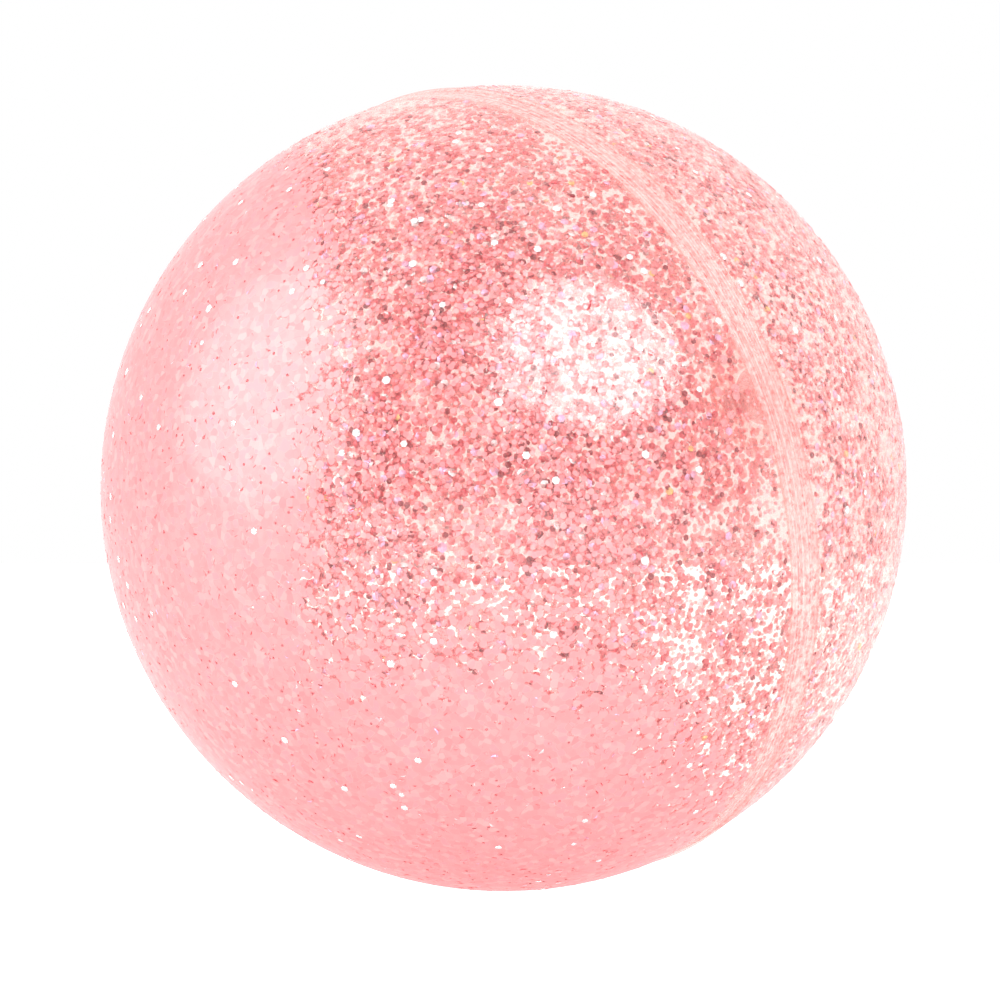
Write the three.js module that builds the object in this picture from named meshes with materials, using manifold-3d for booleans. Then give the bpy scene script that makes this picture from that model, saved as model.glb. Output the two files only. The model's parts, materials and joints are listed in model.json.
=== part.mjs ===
// An inflated two-shell ball of clear pink film, with a push-in air valve at the pole of its rear shell.
// Millimetres, +Z up. The origin is the middle of the small flat on which the full ball rests.
import * as THREE from 'three';
import { mergeVertices } from 'three/addons/utils/BufferGeometryUtils.js';
import Module from 'manifold-3d';

const wasm = await Module();
wasm.setup();

// ---- Driving dimensions ----
const BALL_RADIUS = 115;
const FILM = 0.4;
const REST_FLAT_RADIUS = 10.5;
const AXIS_RISE = THREE.MathUtils.degToRad(15); // the valve axis rises this much above level
const AXIS_TURN = THREE.MathUtils.degToRad(-47); // and is turned this much about +Z, from +Y
const AROUND = 60; // facets round the ball's axis
const SHELL_STEPS = 14; // facets from the weld to the pole of a half shell
const NARROW_STEPS = 3; // facets across the weld and across the valve's flange
const VALVE_AROUND = 30; // facets round the small valve pieces
const TAB_END_STEPS = 10; // facets round the end of the pull tab
const GAP = 0.3; // between pieces that touch
const SAME_POINT = 1e-4; // corners nearer than this are one corner

const WELD = { front: -4.5, rear: 0.5, depth: 0.8, bead: 0.7, beadFront: 0.08, beadRear: 0.42 };
const HOLE_RADIUS = 10.3; // in the rear shell, for the valve
const FLANGE = { radius: 19, depth: 0.8, collarInner: 9.3, collarTop: 0.2 };
const WEB = { outer: 9.0, inner: 6.4, top: 0, low: -6.2, wall: 0.6 };
const STEM = { bore: 3.0, wall: 2.0, rimRadius: 6.2, rimTop: 2.0, rimDepth: 1.6, shoulderRadius: 6.1,
  shoulderTop: -5.4, shoulderLow: -6.6, low: -12 };
const SEAT = { bore: 2.1, insertTop: -8, flangeRadius: 4.8, flangeDepth: 0.8 };
const FLAP = { radius: 4.2, depth: 0.6, hingeOut: 5.0, hingeWidth: 4 };
const HINGE_OUT = 10.4; // from the valve axis to the fold of the stopper's strap
const TAB = { width: 5, depth: 0.8 };
const HEAD = { radius: 6.2, depth: 1.8, bevel: 0.5 };
const PULL = { reach: 11, width: 5.6, depth: 1.0, lift: 0.3 };
// radius of the plug at each millimetre below the rim: the taper lets it swing out of the bore
const PLUG_RADII = [2.7, 2.7, 2.62, 2.42, 2.1, 1.6];

const BALL_CENTRE_HEIGHT = Math.sqrt(BALL_RADIUS ** 2 - REST_FLAT_RADIUS ** 2);
const GAP_DEGREES = THREE.MathUtils.radToDeg(GAP / BALL_RADIUS);
const FRONT_EDGE = WELD.front - GAP_DEGREES; // latitudes of the shells' edges, seen from the middle
const REAR_EDGE = WELD.rear + GAP_DEGREES;
const STEM_RADIUS = STEM.bore + STEM.wall;

// ---- Materials ----
const shellFilm = new THREE.MeshStandardMaterial(
  { color: 0xf6a3a8, roughness: 0.12, metalness: 0, transparent: true, opacity: 0.55 });
const weldFilm = new THREE.MeshStandardMaterial(
  { color: 0xfbcdcb, roughness: 0.15, metalness: 0, transparent: true, opacity: 0.7 });
const valvePvc = new THREE.MeshStandardMaterial(
  { color: 0xf4dedc, roughness: 0.35, metalness: 0, transparent: true, opacity: 0.85 });

// ---- Profiles: x is the distance from the valve axis, y the distance along it ----
// The ball's centre is at y = 0 and the rear pole, where the valve is, at y = +BALL_RADIUS.
function onSphere(radius, latitude) {
  const angle = THREE.MathUtils.degToRad(latitude);
  return new THREE.Vector2(radius * Math.cos(angle), radius * Math.sin(angle));
}

function arc(radius, from, to, steps) {
  const points = [];
  for (let i = 0; i <= steps; i += 1) {
    points.push(onSphere(radius, from + (to - from) * (i / steps)));
  }
  return points;
}

function latitudeAt(radius, distance) {
  return THREE.MathUtils.radToDeg(Math.acos(distance / radius));
}

// a point at a height above the pole of the ball's outer face
function atValve(distance, height) {
  return new THREE.Vector2(distance, BALL_RADIUS + height);
}

function lathe(points, segments = VALVE_AROUND) {
  const onAxis = points[0].x < SAME_POINT && points.at(-1).x < SAME_POINT;
  const loop = onAxis ? points : [...points, points[0].clone()];
  return new THREE.LatheGeometry(loop, segments);
}

// ---- Joining and cutting ----
function toSolid(geometry) {
  const bare = geometry.clone();
  bare.deleteAttribute('normal');
  bare.deleteAttribute('uv');
  const merged = mergeVertices(bare, SAME_POINT);
  const index = merged.index.array;
  const kept = [];
  for (let i = 0; i < index.length; i += 3) {
    const [a, b, c] = [index[i], index[i + 1], index[i + 2]];
    if (a !== b && b !== c && a !== c) {
      kept.push(a, b, c);
    }
  }
  return new wasm.Manifold(new wasm.Mesh({
    numProp: 3,
    vertProperties: new Float32Array(merged.attributes.position.array),
    triVerts: new Uint32Array(kept),
  }));
}

function toGeometry(solid) {
  const mesh = solid.getMesh();
  const geometry = new THREE.BufferGeometry();
  geometry.setAttribute('position', new THREE.BufferAttribute(mesh.vertProperties, 3));
  geometry.setIndex(new THREE.BufferAttribute(mesh.triVerts, 1));
  geometry.computeVertexNormals();
  return geometry;
}

function join(...geometries) {
  return toGeometry(geometries.map(toSolid).reduce((whole, next) => whole.add(next)));
}

// a straight bar, flat across the axis, that runs along z from one place to another
function block(width, fromZ, toZ, low, high) {
  const geometry = new THREE.BoxGeometry(width, high - low, Math.abs(toZ - fromZ));
  geometry.translate(0, BALL_RADIUS + (low + high) / 2, (fromZ + toZ) / 2);
  return geometry;
}

// ---- The ball: two half shells and the weld between them ----
const ball = new THREE.Group();
ball.position.set(0, 0, BALL_CENTRE_HEIGHT);
ball.rotation.set(AXIS_RISE, 0, AXIS_TURN, 'ZYX');
ball.updateMatrix();

// everything below a level, seen from the ball's own axes
function groundBelow(level) {
  const side = 3 * BALL_RADIUS;
  const ground = new THREE.BoxGeometry(side, side, side);
  ground.translate(0, 0, level - side / 2);
  ground.applyMatrix4(ball.matrix.clone().invert());
  return toSolid(ground);
}

// the round solid under a film of this radius, up to a height, with its underside cut flat
function dome(radius, top, underside) {
  const curve = arc(radius, -90, FRONT_EDGE, SHELL_STEPS);
  const profile = [...curve, new THREE.Vector2(curve.at(-1).x, top), new THREE.Vector2(0, top)];
  return toSolid(lathe(profile, AROUND)).subtract(groundBelow(underside));
}

function frontShell() {
  const top = onSphere(BALL_RADIUS, FRONT_EDGE).y;
  const outside = dome(BALL_RADIUS, top, 0);
  const air = dome(BALL_RADIUS - FILM, top + FILM, FILM);
  return toGeometry(outside.subtract(air));
}

function rearShell() {
  const hole = latitudeAt(BALL_RADIUS, HOLE_RADIUS);
  const innerHole = latitudeAt(BALL_RADIUS - FILM, HOLE_RADIUS);
  return lathe([
    ...arc(BALL_RADIUS, REAR_EDGE, hole, SHELL_STEPS),
    ...arc(BALL_RADIUS - FILM, innerHole, REAR_EDGE, SHELL_STEPS),
  ], AROUND);
}

function seamWeld() {
  const proud = BALL_RADIUS + WELD.bead;
  return lathe([
    ...arc(BALL_RADIUS, WELD.front, 0, NARROW_STEPS),
    onSphere(proud, WELD.beadFront),
    onSphere(proud, WELD.beadRear),
    onSphere(BALL_RADIUS, WELD.rear),
    ...arc(BALL_RADIUS - WELD.depth, WELD.rear, WELD.front, NARROW_STEPS),
  ], AROUND);
}

// ---- The valve ----
function valveFlange() {
  const outerRadius = BALL_RADIUS - FILM - GAP;
  const innerRadius = outerRadius - FLANGE.depth;
  const collarOuter = HOLE_RADIUS - GAP;
  return lathe([
    ...arc(outerRadius, latitudeAt(outerRadius, FLANGE.radius), latitudeAt(outerRadius, collarOuter),
      NARROW_STEPS),
    atValve(collarOuter, FLANGE.collarTop),
    atValve(FLANGE.collarInner, FLANGE.collarTop),
    ...arc(innerRadius, latitudeAt(innerRadius, FLANGE.collarInner),
      latitudeAt(innerRadius, FLANGE.radius), NARROW_STEPS),
  ], AROUND);
}

function valveWeb() {
  return lathe([
    atValve(WEB.outer, WEB.top - WEB.wall),
    atValve(WEB.outer, WEB.top),
    atValve(WEB.outer - WEB.wall, WEB.top),
    atValve(WEB.inner, WEB.low + WEB.wall),
    atValve(WEB.inner, WEB.low),
    atValve(WEB.inner + WEB.wall, WEB.low),
  ]);
}

function valveStem() {
  const tube = lathe([
    atValve(STEM_RADIUS, STEM.low),
    atValve(STEM_RADIUS, STEM.shoulderLow),
    atValve(STEM.shoulderRadius, STEM.shoulderLow),
    atValve(STEM.shoulderRadius, STEM.shoulderTop),
    atValve(STEM_RADIUS, STEM.shoulderTop),
    atValve(STEM_RADIUS, STEM.rimTop - STEM.rimDepth),
    atValve(STEM.rimRadius, STEM.rimTop - STEM.rimDepth),
    atValve(STEM.rimRadius, STEM.rimTop),
    atValve(STEM.bore, STEM.rimTop),
    atValve(STEM.bore, STEM.low),
  ]);
  const tab = block(TAB.width, -HINGE_OUT, -STEM_RADIUS, STEM.rimTop - TAB.depth, STEM.rimTop);
  return join(tube, tab);
}

function flapSeat() {
  const top = STEM.low - GAP;
  const outer = STEM.bore - GAP;
  const ring = lathe([
    atValve(SEAT.flangeRadius, top - SEAT.flangeDepth),
    atValve(SEAT.flangeRadius, top),
    atValve(outer, top),
    atValve(outer, SEAT.insertTop),
    atValve(SEAT.bore, SEAT.insertTop),
    atValve(SEAT.bore, top - SEAT.flangeDepth),
  ]);
  const ear = block(FLAP.hingeWidth, FLAP.hingeOut, STEM.bore, top - SEAT.flangeDepth, top);
  return join(ring, ear);
}

const FLAP_TOP = STEM.low - GAP - SEAT.flangeDepth - GAP;

function checkFlap() {
  const disc = lathe([
    atValve(0, FLAP_TOP - FLAP.depth),
    atValve(FLAP.radius, FLAP_TOP - FLAP.depth),
    atValve(FLAP.radius, FLAP_TOP),
    atValve(0, FLAP_TOP),
  ]);
  const ear = block(FLAP.hingeWidth, FLAP.hingeOut, 0, FLAP_TOP - FLAP.depth, FLAP_TOP);
  return join(disc, ear);
}

// ---- The stopper: plug, head, pull tab and strap ----
const HEAD_LOW = STEM.rimTop + GAP;

function stopperPlug() {
  const pin = PLUG_RADII.map((radius, depth) => atValve(radius, STEM.rimTop - depth)).reverse();
  const plug = lathe([
    new THREE.Vector2(0, pin[0].y),
    ...pin.slice(0, -1),
    atValve(PLUG_RADII[0], HEAD_LOW),
    atValve(HEAD.radius, HEAD_LOW),
    atValve(HEAD.radius, HEAD_LOW + HEAD.depth - HEAD.bevel),
    atValve(HEAD.radius - HEAD.bevel, HEAD_LOW + HEAD.depth),
    atValve(0, HEAD_LOW + HEAD.depth),
  ]);
  return join(plug, pullTab());
}

// the tab that a finger lifts: from inside the head out past it, with a round end
function pullTab() {
  const half = PULL.width / 2;
  const straight = PULL.reach - half;
  const outline = new THREE.Shape();
  outline.moveTo(-half, -STEM.bore);
  outline.lineTo(-half, -straight);
  outline.absarc(0, -straight, half, Math.PI, 2 * Math.PI, false);
  outline.lineTo(half, -STEM.bore);
  outline.closePath();
  const tab = new THREE.ExtrudeGeometry(outline,
    { depth: PULL.depth, bevelEnabled: false, curveSegments: TAB_END_STEPS });
  tab.rotateX(-Math.PI / 2);
  tab.translate(0, BALL_RADIUS + HEAD_LOW + PULL.lift, 0);
  return tab;
}

function stopperStrap() {
  return block(TAB.width, -HINGE_OUT, -(HEAD.radius + GAP), HEAD_LOW, HEAD_LOW + TAB.depth);
}

// ---- The assembly ----
function piece(name, geometry, material) {
  const mesh = new THREE.Mesh(geometry, material);
  mesh.name = name;
  return mesh;
}

const stem = new THREE.Group();
const stopper = new THREE.Group();
stopper.add(
  piece('stopper_plug', stopperPlug(), valvePvc),
  piece('stopper_strap', stopperStrap(), valvePvc),
);
stem.add(
  piece('valve_stem', valveStem(), valvePvc),
  piece('flap_seat', flapSeat(), valvePvc),
  piece('check_flap', checkFlap(), valvePvc),
  stopper,
);
ball.add(
  piece('front_shell', frontShell(), shellFilm),
  piece('rear_shell', rearShell(), shellFilm),
  piece('seam_weld', seamWeld(), weldFilm),
  piece('valve_flange', valveFlange(), valvePvc),
  piece('valve_web', valveWeb(), valvePvc),
  stem,
);

const part = new THREE.Group();
part.add(ball);
export default part;
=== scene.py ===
"""Looks of an inflated ball of clear pink film full of glitter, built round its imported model.

Every length is in metres. Pieces of the ball are made round the valve axis: local +Z leaves the
ball through the valve, local +X is level, and local +Y points down towards the stopper's strap.
"""
import json
import math

import bpy
import numpy as np
from mathutils import Matrix, Vector


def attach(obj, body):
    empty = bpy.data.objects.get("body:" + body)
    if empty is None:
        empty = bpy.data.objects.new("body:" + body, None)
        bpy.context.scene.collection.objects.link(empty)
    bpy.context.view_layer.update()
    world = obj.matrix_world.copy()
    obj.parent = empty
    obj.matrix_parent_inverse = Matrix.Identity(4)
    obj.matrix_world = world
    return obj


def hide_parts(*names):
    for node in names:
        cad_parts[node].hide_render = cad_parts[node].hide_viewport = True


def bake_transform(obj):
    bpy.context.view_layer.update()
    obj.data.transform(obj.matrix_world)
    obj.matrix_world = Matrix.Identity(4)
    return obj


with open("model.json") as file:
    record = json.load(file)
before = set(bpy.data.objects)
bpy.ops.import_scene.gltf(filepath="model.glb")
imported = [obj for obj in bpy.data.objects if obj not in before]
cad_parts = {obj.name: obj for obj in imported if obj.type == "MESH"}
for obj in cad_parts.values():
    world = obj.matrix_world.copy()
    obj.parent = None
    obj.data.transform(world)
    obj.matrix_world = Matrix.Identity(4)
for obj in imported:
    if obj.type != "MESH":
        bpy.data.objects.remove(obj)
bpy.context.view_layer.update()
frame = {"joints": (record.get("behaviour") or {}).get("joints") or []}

MM = 0.001

# ---- Sizes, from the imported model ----
RADIUS = 115 * MM
FILM = 0.4 * MM
REST_FLAT = 10.5 * MM
CENTRE = Vector((0, 0, math.sqrt(RADIUS**2 - REST_FLAT**2)))
AXIS = Vector(next(j for j in frame["joints"] if j["name"] == "valve_push")["axis"]).normalized()
LEVEL = AXIS.cross(Vector((0, 0, 1))).normalized()
DOWN = AXIS.cross(LEVEL)
WELD_FRONT = math.radians(-4.5)
WELD_REAR = math.radians(0.5)
HOLE = 10.3 * MM

# ---- Sizes of what is in the film ----
TINT_PATCHES = 30 * MM
MILKY_SPECKS = 1.2 * MM     # real ones are finer: drawn as coarse as they need to show
FLOW_LINES = 0.9 * MM       # rings round the valve axis, left as the film was moulded
FLECK = 1.9 * MM            # from the middle of one deep fleck to the next
FLECK_CLOUDS = 35 * MM
FLECK_EDGE = 0.08           # softness of a fleck's edge, in flecks
# the grain where the film is clearest and where it is milkiest, and how much of its haze is there
GRAIN = (0.12, 0.42)
GRAIN_HAZE = (0.2, 2.0)
# how much a face mirrors seen straight on, and seen along it
MIRROR = (0.045, 0.3)
# how far deep flecks reach from their middles where they lie thin and where they lie thick
REACH = (0.29, 0.47)
# where the flecks reach wider or less far and fewer flakes lie at the face: a direction from the
# ball's middle, the cosines of the angles from it at which the place begins and is full, how much
# wider the deep flecks reach
# there, and what share of the flakes at the face is left. The places at the left and the bottom are
# painted light:
# their wide flecks and few flakes paint the left softbox's soft sheen on the left side and a pink
# shade at the bottom;
# the places at the right and the top leave the glitter a little thinner
REAR_GLITTER_AND_PAINTED_LIGHT_PLACES = [
    ((-1.0, -0.30, 0.10), 0.57, 0.76, 0.60, 0.28),
    ((-0.10, -0.50, -0.86), 0.62, 0.97, 0.60, 0.30),
    ((0.95, -0.30, 0.10), 0.40, 0.75, -0.06, 0.80),
    ((0, -0.45, 0.90), 0.60, 0.90, -0.04, 0.80),
]
# glitter thins out towards the weld, which is square to the valve axis
FRONT_GLITTER_AND_PAINTED_LIGHT_PLACES = REAR_GLITTER_AND_PAINTED_LIGHT_PLACES + [(AXIS, -0.55, -0.12, -0.11, 0.35)]

# from the ball's own axes to the row frame
BALL_AXES = Matrix.Translation(CENTRE) @ Matrix((LEVEL, DOWN, AXIS)).transposed().to_4x4()


# ---- Camera ----
def add_camera():
    """A 100 mm lens level with the middle of the ball, which fills four fifths of the picture."""
    share = 0.8062
    lens, sensor = 100.0, 36.0
    half_angle = math.atan(share / 2 * sensor / lens)
    away = RADIUS / math.sin(half_angle)
    aside = -0.00365 * away * sensor / lens
    below = -0.01164 * away * sensor / lens
    data = bpy.data.cameras.new("camera")
    data.lens = lens
    data.sensor_width = sensor
    camera = bpy.data.objects.new("camera", data)
    camera.location = CENTRE + Vector((aside, -away, below))
    camera.rotation_euler = (math.pi / 2, 0, 0)
    bpy.context.scene.collection.objects.link(camera)
    bpy.context.scene.camera = camera


# ---- Node and colour helpers ----
def linear(code):
    """An sRGB hex colour as linear red, green, blue and 1."""
    values = [int(code[i:i + 2], 16) / 255 for i in (0, 2, 4)]
    return (*[v / 12.92 if v <= 0.04045 else ((v + 0.055) / 1.055) ** 2.4 for v in values], 1)


def add_node(tree, kind, settings=None, **links):
    """A node with its settings, and its inputs set to values or linked from sockets."""
    node = tree.nodes.new(kind)
    for name, value in (settings or {}).items():
        setattr(node, name, value)
    for name, value in links.items():
        key = name.replace("_", " ")
        socket = node.inputs[int(key[3:])] if key.startswith("in ") else node.inputs[key]
        if isinstance(value, bpy.types.NodeSocket):
            tree.links.new(value, socket)
        else:
            socket.default_value = value
    return node


def new_material(name):
    material = bpy.data.materials.new(name)
    material.use_nodes = True
    tree = material.node_tree
    tree.nodes.clear()
    return material, tree


# ---- Materials ----
def film_material(name, clear, cloudy, haze, flecks=None, places=()):
    """Soft clear PVC film, moulded and inflated tight: see-through, glossy, a little milky."""
    material, tree = new_material(name)
    place = add_node(tree, "ShaderNodeTexCoord").outputs["Object"]
    patches = add_node(tree, "ShaderNodeTexNoise", Vector=place, Scale=1 / TINT_PATCHES,
                       Detail=3.0)
    tint = add_node(tree, "ShaderNodeMix", {"data_type": "RGBA"}, in_0=patches.outputs["Fac"],
                    in_6=clear, in_7=cloudy)
    through = add_node(tree, "ShaderNodeBsdfTransparent", Color=tint.outputs[2])
    milk = add_node(tree, "ShaderNodeBsdfDiffuse", Color=cloudy)
    glow = add_node(tree, "ShaderNodeBsdfTranslucent", Color=cloudy)
    milky = add_node(tree, "ShaderNodeMixShader", in_0=0.5, in_1=milk.outputs[0],
                     in_2=glow.outputs[0])
    along = add_node(tree, "ShaderNodeVectorMath", {"operation": "DOT_PRODUCT"}, in_0=place,
                     in_1=AXIS)
    streaks = add_node(tree, "ShaderNodeTexNoise", {"noise_dimensions": "1D"},
                       W=along.outputs["Value"], Scale=1 / FLOW_LINES, Detail=2.0)
    specks = add_node(tree, "ShaderNodeTexNoise", Vector=place, Scale=1 / MILKY_SPECKS,
                      Detail=2.0)
    grain = add_node(tree, "ShaderNodeMath", {"operation": "MULTIPLY"}, in_0=specks.outputs["Fac"],
                     in_1=streaks.outputs["Fac"])
    amount = add_node(tree, "ShaderNodeMapRange", Value=grain.outputs[0], From_Min=GRAIN[0],
                      From_Max=GRAIN[1], To_Min=haze * GRAIN_HAZE[0], To_Max=haze * GRAIN_HAZE[1])
    body = add_node(tree, "ShaderNodeMixShader", in_0=amount.outputs[0], in_1=through.outputs[0],
                    in_2=milky.outputs[0])
    if flecks:
        body = add_flecks(tree, place, body, flecks, places)
    facing = add_node(tree, "ShaderNodeLayerWeight", Blend=0.5)
    steep = add_node(tree, "ShaderNodeMath", {"operation": "POWER"}, in_0=facing.outputs["Facing"],
                     in_1=5.0)
    mirror = add_node(tree, "ShaderNodeMapRange", Value=steep.outputs[0], To_Min=MIRROR[0],
                      To_Max=MIRROR[1])
    shine = add_node(tree, "ShaderNodeBsdfGlossy", Color=(1, 1, 1, 1), Roughness=0.16)
    whole = add_node(tree, "ShaderNodeMixShader", in_0=mirror.outputs[0], in_1=body.outputs[0],
                     in_2=shine.outputs[0])
    add_node(tree, "ShaderNodeOutputMaterial", Surface=whole.outputs[0])
    return material


def add_flecks(tree, place, body, colours, places):
    """Glitter that lies deep in the film, under the flakes at its face: soft round pink flecks."""
    cells = add_node(tree, "ShaderNodeTexVoronoi", {"feature": "SMOOTH_F1"}, Vector=place,
                     Scale=1 / FLECK, Smoothness=0.35)
    pick = add_node(tree, "ShaderNodeSeparateColor", Color=cells.outputs["Color"])
    ramp = add_node(tree, "ShaderNodeValToRGB", Fac=pick.outputs[0])
    # the smoothed cells' values gather round the middle, so the colours do too
    for i, colour in enumerate(colours):
        stop = ramp.color_ramp.elements[i] if i < 2 else ramp.color_ramp.elements.new(1)
        stop.position = 0.15 + 0.7 * i / (len(colours) - 1)
        stop.color = linear(colour)
    clouds = add_node(tree, "ShaderNodeTexNoise", Vector=place, Scale=1 / FLECK_CLOUDS,
                      Detail=3.0)
    reach = add_node(tree, "ShaderNodeMapRange", Value=clouds.outputs["Fac"], From_Min=0.3,
                     From_Max=0.7, To_Min=REACH[0], To_Max=REACH[1])
    # at the left and the bottom the flecks reach wider: a painted sheen on the left, painted shade
    # at the bottom
    for direction, start, end, more, _ in places:
        way = Vector(direction).normalized()
        towards = add_node(tree, "ShaderNodeVectorMath", {"operation": "DOT_PRODUCT"}, in_0=place,
                           in_1=way)
        here = add_node(tree, "ShaderNodeMapRange", {"interpolation_type": "SMOOTHSTEP"},
                        Value=towards.outputs["Value"], From_Min=way.dot(CENTRE) + start * RADIUS,
                        From_Max=way.dot(CENTRE) + end * RADIUS, To_Max=more)
        reach = add_node(tree, "ShaderNodeMath", in_0=reach.outputs[0], in_1=here.outputs[0])
    edge = add_node(tree, "ShaderNodeMath", {"operation": "SUBTRACT"}, in_0=reach.outputs[0],
                    in_1=cells.outputs["Distance"])
    mask = add_node(tree, "ShaderNodeMapRange", {"interpolation_type": "SMOOTHSTEP"},
                    Value=edge.outputs[0], From_Min=-FLECK_EDGE, From_Max=FLECK_EDGE)
    lacquer = add_node(tree, "ShaderNodeBsdfDiffuse", Color=ramp.outputs[0])
    glow = add_node(tree, "ShaderNodeBsdfTranslucent", Color=ramp.outputs[0])
    foil = add_node(tree, "ShaderNodeBsdfGlossy", Color=ramp.outputs[0], Roughness=0.45)
    both = add_node(tree, "ShaderNodeMixShader", in_0=0.6, in_1=lacquer.outputs[0],
                    in_2=glow.outputs[0])
    fleck = add_node(tree, "ShaderNodeMixShader", in_0=0.25, in_1=both.outputs[0],
                     in_2=foil.outputs[0])
    return add_node(tree, "ShaderNodeMixShader", in_0=mask.outputs[0], in_1=body.outputs[0],
                    in_2=fleck.outputs[0])


def flake_material(name, colour, metallic, roughness):
    """Metallised polyester glitter: a tiny mirror seen through its coloured lacquer."""
    material, tree = new_material(name)
    foil = add_node(tree, "ShaderNodeBsdfPrincipled", Base_Color=linear(colour),
                    Metallic=metallic, Roughness=roughness)
    add_node(tree, "ShaderNodeOutputMaterial", Surface=foil.outputs[0])
    return material


def floor_material():
    """White matt paper on a light table, lit from below too, so that it shows no shadow."""
    material, tree = new_material("white_paper")
    paper = add_node(tree, "ShaderNodeBsdfPrincipled", Base_Color=(0.45, 0.45, 0.45, 1),
                     Roughness=0.7, Emission_Color=(1, 1, 1, 1), Emission_Strength=1.1)
    add_node(tree, "ShaderNodeOutputMaterial", Surface=paper.outputs[0])
    return material


# ---- Mesh helpers ----
def finish_piece(piece, name, material, body, slot, *nodes):
    """Names a piece, gives it its material and puts it on its body; one that bends has none."""
    piece.name = name
    piece.data.name = name
    piece.data.materials.clear()
    piece.data.materials.append(material)
    if body:
        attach(piece, body)
    if nodes:
        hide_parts(*nodes)
    return piece


def select_only(piece):
    bpy.ops.object.select_all(action="DESELECT")
    piece.select_set(True)
    bpy.context.view_layer.objects.active = piece


def edit(piece):
    select_only(piece)
    bpy.ops.object.mode_set(mode="EDIT")
    bpy.ops.mesh.select_all(action="SELECT")


def stop_editing():
    bpy.ops.object.mode_set(mode="OBJECT")


def apply_modifier(piece, kind, **settings):
    modifier = piece.modifiers.new(kind.lower(), kind)
    for name, value in settings.items():
        setattr(modifier, name, value)
    select_only(piece)
    bpy.ops.object.modifier_apply(modifier=modifier.name)


# ---- The two half shells ----
def sphere_about_axis():
    """A fine ball of the film's outer radius, with its poles on the valve's axis."""
    bpy.ops.object.select_all(action="DESELECT")
    bpy.ops.mesh.primitive_uv_sphere_add(segments=192, ring_count=120, radius=RADIUS)
    return bpy.context.active_object


def cut_off(piece, height, above):
    """Cuts the ball square to its axis and drops what is above the cut, or else below it."""
    edit(piece)
    bpy.ops.mesh.bisect(plane_co=(0, 0, height), plane_no=(0, 0, 1), clear_outer=above,
                        clear_inner=not above)
    stop_editing()


def press_flat(piece):
    """The ball's weight presses the lowest film flat on what it rests on."""
    edit(piece)
    bpy.ops.mesh.select_all(action="DESELECT")
    stop_editing()
    for vertex in piece.data.vertices:
        vertex.select = vertex.co.z < 0
    bpy.ops.object.mode_set(mode="EDIT")
    bpy.ops.transform.resize(value=(1, 1, 0), center_override=(0, 0, 0))
    stop_editing()


def make_front_shell(material):
    shell = sphere_about_axis()
    cut_off(shell, RADIUS * math.sin(WELD_FRONT), above=True)
    shell.data.transform(BALL_AXES)
    press_flat(shell)
    apply_modifier(shell, "SOLIDIFY", thickness=FILM, offset=-1)
    bpy.ops.object.shade_smooth_by_angle(angle=math.radians(30))
    finish_piece(shell, "front_film", material, "ball", "shell_film", "front_shell")


def make_rear_shell(material):
    shell = sphere_about_axis()
    cut_off(shell, RADIUS * math.sin(WELD_REAR), above=False)
    cut_off(shell, math.sqrt(RADIUS**2 - HOLE**2), above=True)
    shell.data.transform(BALL_AXES)
    apply_modifier(shell, "SOLIDIFY", thickness=FILM, offset=-1)
    bpy.ops.object.shade_smooth_by_angle(angle=math.radians(30))
    finish_piece(shell, "rear_film", material, "ball", "shell_film", "rear_shell")


# ---- Turned pieces ----
def turned(outline, steps=144):
    """A closed outline of (distance from the axis, height along it), spun round the axis."""
    bpy.ops.object.select_all(action="DESELECT")
    bpy.ops.mesh.primitive_circle_add(vertices=len(outline), radius=MM)
    piece = bpy.context.active_object
    for vertex, (out, up) in zip(piece.data.vertices, outline):
        vertex.co = (out, 0, up)
    edit(piece)
    bpy.ops.mesh.spin(steps=steps, angle=2 * math.pi, center=(0, 0, 0), axis=(0, 0, 1))
    bpy.ops.mesh.select_all(action="SELECT")
    bpy.ops.mesh.remove_doubles(threshold=1e-7)
    bpy.ops.mesh.delete_loose()
    bpy.ops.mesh.select_all(action="SELECT")
    bpy.ops.mesh.normals_make_consistent(inside=False)
    stop_editing()
    return piece


def at_latitude(radius, latitude):
    return radius * math.cos(latitude), radius * math.sin(latitude)


def make_weld(material):
    """The fused lap of the films: a smooth band with pressed lines and a fine bead at the rear."""
    depth = 0.8 * MM
    line = math.radians(0.1)
    press = 0.12 * MM
    outline = []
    steps = 16
    smooth_part = (WELD_REAR - WELD_FRONT) * 0.88
    lines = [math.radians(a) for a in (-4.1, -2.0, -0.5)]
    for i in range(steps + 1):
        outline.append(at_latitude(RADIUS, WELD_FRONT + smooth_part * i / steps))
    for at in lines:
        outline += [at_latitude(RADIUS, at - line), at_latitude(RADIUS - press, at),
                    at_latitude(RADIUS, at + line)]
    outline.sort(key=lambda p: math.atan2(p[1], p[0]))
    outline += [at_latitude(RADIUS + 0.5 * MM, math.radians(0.05)),
                at_latitude(RADIUS + 0.7 * MM, math.radians(0.2)),
                at_latitude(RADIUS + 0.55 * MM, math.radians(0.38)),
                at_latitude(RADIUS, WELD_REAR)]
    for i in range(7):
        outline.append(at_latitude(RADIUS - depth, WELD_REAR + (WELD_FRONT - WELD_REAR) * i / 6))
    band = turned(outline, steps=240)
    band.data.transform(BALL_AXES)
    select_only(band)
    bpy.ops.object.shade_smooth_by_angle(angle=math.radians(30))
    finish_piece(band, "weld_band", material, "ball", "weld_film", "seam_weld")


# ---- The valve ----
def at_valve(*points):
    """Points in mm: how far from the valve's axis, and how high over the pole of the ball."""
    return [(out * MM, RADIUS + height * MM) for out, height in points]


def under_face(depth, *distances):
    """Points that follow the ball's curve, this many mm under its outer face."""
    inner = RADIUS - depth * MM
    return [(out * MM, math.sqrt(inner**2 - (out * MM)**2)) for out in distances]


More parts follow.
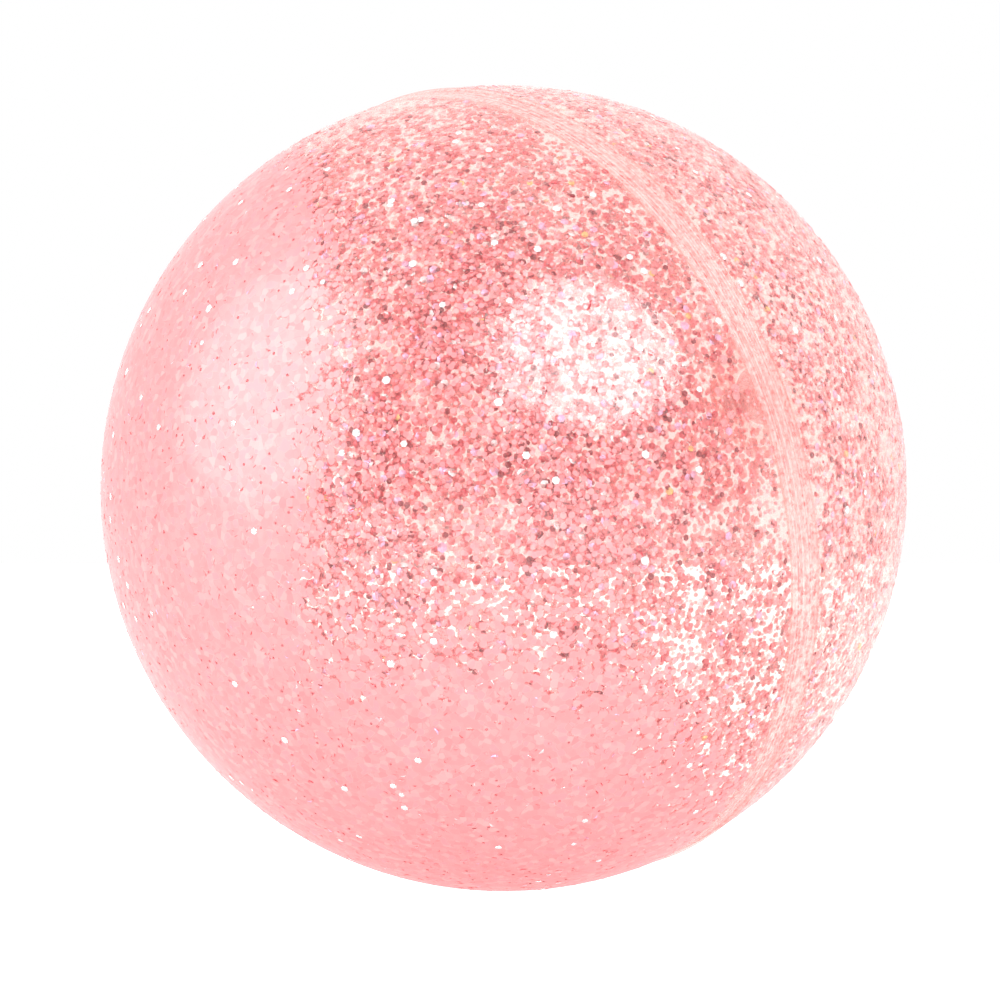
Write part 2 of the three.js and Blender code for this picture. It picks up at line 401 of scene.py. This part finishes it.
def block(width, near, far, low, high, round_edge=0.15):
    """A bar across the valve, in mm: near and far lie along local Y, low and high are heights."""
    bpy.ops.object.select_all(action="DESELECT")
    bpy.ops.mesh.primitive_cube_add(
        size=1, location=(0, (near + far) / 2 * MM, RADIUS + (low + high) / 2 * MM),
        scale=(width * MM, (far - near) * MM, (high - low) * MM))
    bpy.ops.object.transform_apply()
    bar = bpy.context.active_object
    apply_modifier(bar, "BEVEL", width=round_edge * MM, segments=3)
    return bar


def hinge_bead(length, along, height, radius):
    """The thick rolled fold of a moulded hinge: a bead along local X."""
    bpy.ops.object.select_all(action="DESELECT")
    bpy.ops.mesh.primitive_cylinder_add(
        vertices=32, radius=radius * MM, depth=length * MM, rotation=(0, math.pi / 2, 0),
        location=(0, along * MM, RADIUS + height * MM))
    bpy.ops.object.transform_apply()
    bead = bpy.context.active_object
    apply_modifier(bead, "BEVEL", width=0.2 * MM, segments=3, limit_method="ANGLE")
    return bead


def join(piece, *others):
    """Fuses other solids with a piece."""
    for other in others:
        apply_modifier(piece, "BOOLEAN", object=other, operation="UNION", solver="EXACT")
        bpy.data.objects.remove(other)
    return piece


def finish_moulding(piece, name, material, body, *nodes):
    piece.data.transform(BALL_AXES)
    select_only(piece)
    bpy.ops.object.shade_smooth_by_angle(angle=math.radians(35))
    return finish_piece(piece, name, material, body, "valve_pvc", *nodes)


def make_flange(material):
    """The disc welded inside the rear film, with pressed weld rings, and its collar in the hole."""
    rings = []
    for at in (17.2, 15.0, 12.8):
        rings += under_face(1.25, at + 0.45) + under_face(1.5, at + 0.25, at - 0.25)
        rings += under_face(1.25, at - 0.45)
    flange = turned(
        under_face(0.45, 10.25, 12.5, 14.5, 16.5, 18.7) + under_face(0.6, 19.0)
        + under_face(1.1, 19.0) + under_face(1.25, 18.7) + rings
        + under_face(1.25, 9.5) + under_face(1.1, 9.3)
        + at_valve((9.3, 0.05), (9.45, 0.2), (10.1, 0.2), (10.25, 0.05)), steps=96)
    finish_moulding(flange, "valve_flange_disc", material, "ball", "valve_flange")


def make_web(material):
    """The thin funnel that carries the stem and rolls inside out as it is pulled or pushed."""
    outer, inner, top, low, half_wall, steps = 9.35, 5.95, -0.7, -6.0, 0.25, 14
    middle = []
    for i in range(-1, steps + 2):
        share = i / steps
        rolled = min(max(share, 0), 1)
        middle.append(Vector((outer + (inner - outer) * share,
                              top + (low - top) * rolled**2 * (3 - 2 * rolled))))
    sides = ([], [])
    for before, here, after in zip(middle, middle[1:], middle[2:]):
        along = (after - before).normalized() * half_wall
        sides[0].append((here.x - along.y, here.y + along.x))
        sides[1].append((here.x + along.y, here.y - along.x))
    web = turned(at_valve(*sides[0], *reversed(sides[1])), steps=96)
    finish_moulding(web, "valve_web_funnel", material, None, "valve_web")
    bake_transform(web)


def make_stem(material):
    """The tube with its rim and bore, and the tab and fold that hold the stopper's strap."""
    tube = turned(at_valve(
        (3.2, -12.0), (4.8, -12.0), (5.0, -11.8), (5.0, -10.2), (5.15, -10.0), (5.15, -9.4),
        (5.0, -9.2), (5.0, -6.8), (5.15, -6.6), (5.9, -6.6), (6.1, -6.4), (6.1, -5.6),
        (5.9, -5.4), (5.2, -5.4),
        (5.0, -5.2), (5.0, 0.2), (5.2, 0.4), (5.95, 0.4), (6.2, 0.65), (6.2, 1.75), (5.95, 2.0),
        (3.3, 2.0), (3.0, 1.7), (3.0, 0.0), (2.85, -0.2), (2.85, -0.6), (3.0, -0.8), (3.0, -11.8)),
        steps=72)
    tab = block(5, 5.2, 10.4, 1.2, 2.0)
    fold = hinge_bead(5, 10.4, 2.15, 0.92)
    finish_moulding(join(tube, tab, fold), "valve_stem_tube", material, "stem", "valve_stem")


def make_seat(material):
    """The ring in the stem's inner end that the flap closes on, with the flap's fold."""
    ring = turned(at_valve(
        (2.3, -13.1), (4.6, -13.1), (4.8, -12.9), (4.8, -12.3), (4.65, -12.1), (2.95, -12.1),
        (2.95, -8.3), (2.7, -8.0), (2.3, -8.0), (2.1, -8.2), (2.1, -12.9)), steps=72)
    ear = block(4, -5.0, -3.4, -13.1, -12.3)
    fold = hinge_bead(4, -5.0, -13.25, 0.5)
    finish_moulding(join(ring, ear, fold), "flap_seat_ring", material, "stem", "flap_seat")


def make_flap(material):
    """The check flap: a disc with a sealing ridge and the ear that it folds by."""
    disc = turned(at_valve(
        (0, -14.0), (3.9, -14.0), (4.2, -13.8), (4.2, -13.55), (4.05, -13.4), (3.25, -13.4),
        (3.1, -13.15), (2.5, -13.15), (2.35, -13.4), (0, -13.4)), steps=72)
    ear = block(4, -5.0, -2.8, -14.0, -13.4)
    finish_moulding(join(disc, ear), "check_flap_disc", material, "flap", "check_flap")


def make_stopper(material):
    """The tapered plug, its dished head and the pull tab with grip ribs."""
    plug = turned(at_valve(
        (0, -3.0), (1.4, -3.0), (1.62, -2.8), (2.1, -2.0), (2.42, -1.0), (2.62, 0.0), (2.7, 1.0),
        (2.7, 2.2), (2.9, 2.3), (5.9, 2.3), (6.2, 2.6), (6.2, 3.4), (6.05, 3.75), (5.7, 4.0),
        (5.3, 4.1), (4.7, 4.1), (4.2, 3.85), (0, 3.7)), steps=72)
    bpy.ops.object.select_all(action="DESELECT")
    bpy.ops.mesh.primitive_cylinder_add(vertices=40, radius=2.8 * MM, depth=1.0 * MM,
                                        location=(0, -8.2 * MM, RADIUS + 3.1 * MM))
    bpy.ops.object.transform_apply()
    tab = bpy.context.active_object
    for vertex in tab.data.vertices:
        if vertex.co.y > -8.19 * MM:
            vertex.co.y = -3.0 * MM
    apply_modifier(tab, "BEVEL", width=0.2 * MM, segments=3, limit_method="ANGLE")
    ribs = [block(3.4, at - 0.2, at + 0.2, 3.4, 3.8, 0.12) for at in (-9.6, -8.6, -7.6)]
    finish_moulding(join(plug, tab, *ribs), "stopper_plug_head", material, "stopper",
                    "stopper_plug")
    strap = block(5, 5.6, 10.4, 2.35, 3.05)
    finish_moulding(strap, "stopper_strap_band", material, "stopper", "stopper_strap")


def make_valve(material, flange_material):
    make_flange(flange_material)
    make_web(material)
    make_stem(material)
    make_seat(material)
    make_flap(material)
    make_stopper(material)


# ---- Glitter ----
def flake_shape():
    """A hexagonal flake 1 across, flat outside: its corners, face corners and face sizes."""
    bpy.ops.object.select_all(action="DESELECT")
    bpy.ops.mesh.primitive_cone_add(vertices=6, radius1=0.5, radius2=0, depth=0.05,
                                    rotation=(math.pi, 0, 0))
    bpy.ops.object.transform_apply(location=False, rotation=True, scale=False)
    flake = bpy.context.active_object
    corners = np.array([v.co for v in flake.data.vertices])
    loops = np.concatenate([list(p.vertices) for p in flake.data.polygons])
    sizes = np.array([len(p.vertices) for p in flake.data.polygons])
    bpy.data.objects.remove(flake)
    return corners, loops, sizes


def random_directions(dice, count):
    """Directions spread evenly over a whole ball."""
    up = dice.uniform(-1, 1, count)
    turn = dice.uniform(0, 2 * math.pi, count)
    out = np.sqrt(1 - up**2)
    return np.stack([out * np.cos(turn), out * np.sin(turn), up], 1)


def crowding(directions, waves):
    """How thick the glitter lies: broad clouds and thin places, from 0 to 1."""
    total = np.zeros(len(directions))
    for direction, phase in waves:
        total += np.cos(directions @ direction + phase)
    return np.clip(CROWD_MIDDLE + CROWD_SWING * total / math.sqrt(len(waves)), CROWD_LEAST, 1)


def flakes_left(directions, places):
    """The share of the flakes that each direction keeps at the face of the film."""
    rows = directions @ np.array(BALL_AXES)[:3, :3].T
    share = np.ones(len(rows))
    # fewer flakes at the left and the bottom are part of the painted sheen and painted shade there
    for direction, start, end, _, left in places:
        way = np.array(Vector(direction).normalized())
        inside = np.clip((rows @ way - start) / (end - start), 0, 1)
        share *= 1 - (1 - left) * inside**2 * (3 - 2 * inside)
    return share


def draw_flakes(dice, count, shell, at_face, waves):
    """The directions of the flakes of one colour in one shell, from the valve's axis."""
    tries = random_directions(dice, count * 5)
    places = () if at_face else FRONT_GLITTER_AND_PAINTED_LIGHT_PLACES if shell == "front" else REAR_GLITTER_AND_PAINTED_LIGHT_PLACES
    wanted = flakes_left(tries, places)
    latitude = np.arcsin(tries[:, 2])
    if shell == "front":
        inside = latitude < WELD_FRONT - FRONT_MARGIN
    else:
        inside = (latitude > WELD_REAR + REAR_MARGIN) & (latitude < math.pi / 2 - VALVE_MARGIN)
    drawn = dice.uniform(0, 1, len(tries)) < crowding(tries, waves) * wanted
    return tries[inside & drawn][:round(count * np.mean(wanted[inside]))]


def unit(vectors):
    return vectors / np.linalg.norm(vectors, axis=1, keepdims=True)


def lay_flakes(dice, outwards, across, tilt, at_face, corners):
    """Every flake's corners: it lies along the film, a little tilted, and within its thickness."""
    count = len(outwards)
    size = across * np.clip(dice.normal(1, SIZE_SPREAD, count), 0.6, 1.5)
    lean = np.clip(dice.normal(0, tilt, (count, 2)), -0.2, 0.2)
    slack = np.clip(FLAKE_ROOM - size / 2 * np.abs(lean).max(1), 0, None)
    away = RADIUS - FILM / 2 + slack * dice.uniform(-1, 1, count)
    if at_face:
        away = np.full(count, RADIUS + ABOVE_FACE)
    side = unit(np.cross(outwards, random_directions(dice, count)))
    other = np.cross(outwards, side)
    normal = unit(outwards + side * lean[:, :1] + other * lean[:, 1:])
    first = unit(np.cross(other, normal))
    second = np.cross(normal, first)
    points = (outwards * away[:, None])[:, None, :] + size[:, None, None] * (
        corners[None, :, :1] * first[:, None] + corners[None, :, 1:2] * second[:, None]
        + corners[None, :, 2:] * normal[:, None])
    matrix = np.array(BALL_AXES)
    points = points.reshape(-1, 3) @ matrix[:3, :3].T + matrix[:3, 3]
    low = points[:, 2].reshape(count, -1).min(1)
    lift = np.clip(ABOVE_FLOOR - low, 0, None)
    points[:, 2] += np.repeat(lift, len(corners))
    return points


def scatter(name, material, count, across, tilt, seed, shell, at_face, waves):
    """Flakes of one colour laid in the film of one shell, or on its face."""
    dice = np.random.default_rng(seed)
    corners, loops, sizes = flake_shape()
    outwards = draw_flakes(dice, count, shell, at_face, waves)
    points = lay_flakes(dice, outwards, across, tilt, at_face, corners)
    count = len(outwards)
    mesh = bpy.data.meshes.new(name)
    mesh.vertices.add(len(points))
    mesh.vertices.foreach_set("co", points.ravel())
    first_corner = np.arange(count)[:, None] * len(corners)
    mesh.loops.add(count * len(loops))
    mesh.loops.foreach_set("vertex_index", (first_corner + loops).ravel())
    mesh.polygons.add(count * len(sizes))
    starts = np.arange(count)[:, None] * len(loops) + np.cumsum(sizes) - sizes
    mesh.polygons.foreach_set("loop_start", starts.ravel())
    mesh.update(calc_edges=True)
    piece = bpy.data.objects.new(name, mesh)
    bpy.context.scene.collection.objects.link(piece)
    finish_piece(piece, name, material, "ball", "shell_film")


GLITTER = [
    # name, colour, metallic, roughness, share, size across in mm, tilt
    ("salmon", "f98f92", 0.8, 0.35, 0.40, 2.0, 0.12),
    ("blush", "ffb0b3", 0.6, 0.40, 0.18, 2.3, 0.12),
    ("rose", "e66c72", 0.8, 0.30, 0.19, 1.9, 0.13),
    ("garnet", "ae4a4f", 0.7, 0.35, 0.12, 1.6, 0.13),
    ("lilac", "fcc6e6", 0.6, 0.35, 0.06, 2.1, 0.13),
    ("gold", "ffd08a", 0.6, 0.35, 0.008, 1.9, 0.10),
    ("silver", "ffeeee", 0.6, 0.20, 0.042, 2.1, 0.15),
    ("spark", "ffffff", 0.8, 0.15, 0.006, 2.0, 0.02),
    ("speck", "d8787c", 0.3, 0.45, 0.035, 0.8, 0.02),
]
FLAKES = 46000                                  # before thin places take some away
SHELLS = (("front", 0.55), ("rear", 0.50))      # each shell's share of the flakes
AT_FACE = ("spark", "speck")                    # these lie on the film's face, everywhere
SIZE_SPREAD = 0.12
FLAKE_ROOM = 0.17 * MM                          # either way from the middle of the film
ABOVE_FACE = 0.02 * MM
ABOVE_FLOOR = 0.05 * MM
# how far flakes stay from the weld's front and rear edges and from the valve's pole, in radians
FRONT_MARGIN, REAR_MARGIN, VALVE_MARGIN = 0.004, 0.006, 0.1
# how thick the glitter lies on the whole, how much that changes from place to place, and its least
CROWD_MIDDLE, CROWD_SWING, CROWD_LEAST = 0.60, 0.42, 0.08
# how fine the waves of thick and thin glitter are, in radians over the ball's radius: three of each
WAVES = (3, 5, 8, 12, 18, 26, 38, 55)


def add_glitter():
    dice = np.random.default_rng(7)
    waves = [(dice.normal(0, 1, 3) * scale, dice.uniform(0, 6.28))
             for scale in WAVES for _ in range(3)]
    for i, (name, colour, metallic, roughness, share, across, tilt) in enumerate(GLITTER):
        foil = flake_material(f"glitter_foil_{name}", colour, metallic, roughness)
        for shell, part in SHELLS:
            scatter(f"glitter_{name}_{shell}", foil, round(FLAKES * share * part), across * MM,
                    tilt, 100 + 10 * i + (shell == "rear"), shell, name in AT_FACE, waves)


# ---- Stage ----
def add_floor():
    bpy.ops.object.select_all(action="DESELECT")
    bpy.ops.mesh.primitive_plane_add(size=8)
    floor = bpy.context.active_object
    floor.name = "floor"
    floor.data.materials.append(floor_material())


def add_softbox(name, place, size, power):
    data = bpy.data.lights.new(name, "AREA")
    data.shape = "ELLIPSE"
    data.size, data.size_y = size
    data.energy = power
    light = bpy.data.objects.new(name, data)
    light.location = place
    light.rotation_euler = (CENTRE - Vector(place)).to_track_quat("-Z", "Y").to_euler()
    light.visible_camera = False
    bpy.context.scene.collection.objects.link(light)


def light_scene():
    """A white tent, darker on the camera's side, and two softboxes."""
    world = bpy.data.worlds.new("white_tent")
    bpy.context.scene.world = world
    world.use_nodes = True
    tree = world.node_tree
    tree.nodes.clear()
    way = add_node(tree, "ShaderNodeTexCoord").outputs["Generated"]
    towards = add_node(tree, "ShaderNodeVectorMath", {"operation": "DOT_PRODUCT"}, in_0=way,
                       in_1=Vector((0.2, -0.95, 0.25)).normalized())
    dark = add_node(tree, "ShaderNodeMapRange", {"interpolation_type": "SMOOTHSTEP"},
                    Value=towards.outputs["Value"], From_Min=0.35, From_Max=0.75, To_Min=1.65,
                    To_Max=0.76)
    ray = add_node(tree, "ShaderNodeLightPath").outputs["Is Camera Ray"]
    strength = add_node(tree, "ShaderNodeMix", {"data_type": "FLOAT"}, in_0=ray,
                        in_2=dark.outputs[0], in_3=1.0)
    tent = add_node(tree, "ShaderNodeBackground", Color=(1, 1, 1, 1), Strength=strength.outputs[0])
    add_node(tree, "ShaderNodeOutputWorld", Surface=tent.outputs[0])
    add_softbox("left_softbox", (-0.85, -0.3, 0.5), (1.0, 1.0), 5)
    add_softbox("key_softbox", (0.35, -0.74, 0.68), (0.85, 0.7), 9.5)


add_camera()
# clear pink film, blown and tight: its own depth of pink flecks, under the flakes at its face
# its flecks and flakes spread as painted light: a painted sheen on the left and painted shade at
# the bottom
front_film = film_material("clear_pvc_film", linear("fffbfa"), linear("fff4f1"), 0.06,
                           flecks=("f7a1a3", "fbacad", "f4989b", "fdb8b7", "f8a5aa"),
                           places=FRONT_GLITTER_AND_PAINTED_LIGHT_PLACES)
# the rear half's film is a shade paler and milkier
# its flecks too spread as painted sheen and painted shade at the left and the bottom
rear_film = film_material("pale_pvc_film", linear("fffbfa"), linear("fff0ec"), 0.14,
                          flecks=("fbb9b7", "fdcbc6", "f9adae", "ffd6d0", "fbbac0"),
                          places=REAR_GLITTER_AND_PAINTED_LIGHT_PLACES)
# two films fused by heat: smooth, without glitter, and milky with flow lines
weld = film_material("welded_pvc_film", linear("fff4f2"), linear("fdd6d3"), 0.34)
make_front_shell(front_film)
make_rear_shell(rear_film)
make_weld(weld)
add_glitter()
# the valve's soft PVC is thick, so it looks milky, and its thin flange is nearly clear
soft_pvc = film_material("moulded_soft_pvc", linear("fff1ef"), linear("f2c8c5"), 0.45)
clear_pvc = film_material("moulded_clear_pvc", linear("fffaf9"), linear("ffe9e5"), 0.05)
make_valve(soft_pvc, clear_pvc)
add_floor()
light_scene()
bpy.context.scene.view_settings.view_transform = "Standard"
bpy.context.scene.cycles.transparent_max_bounces = 24
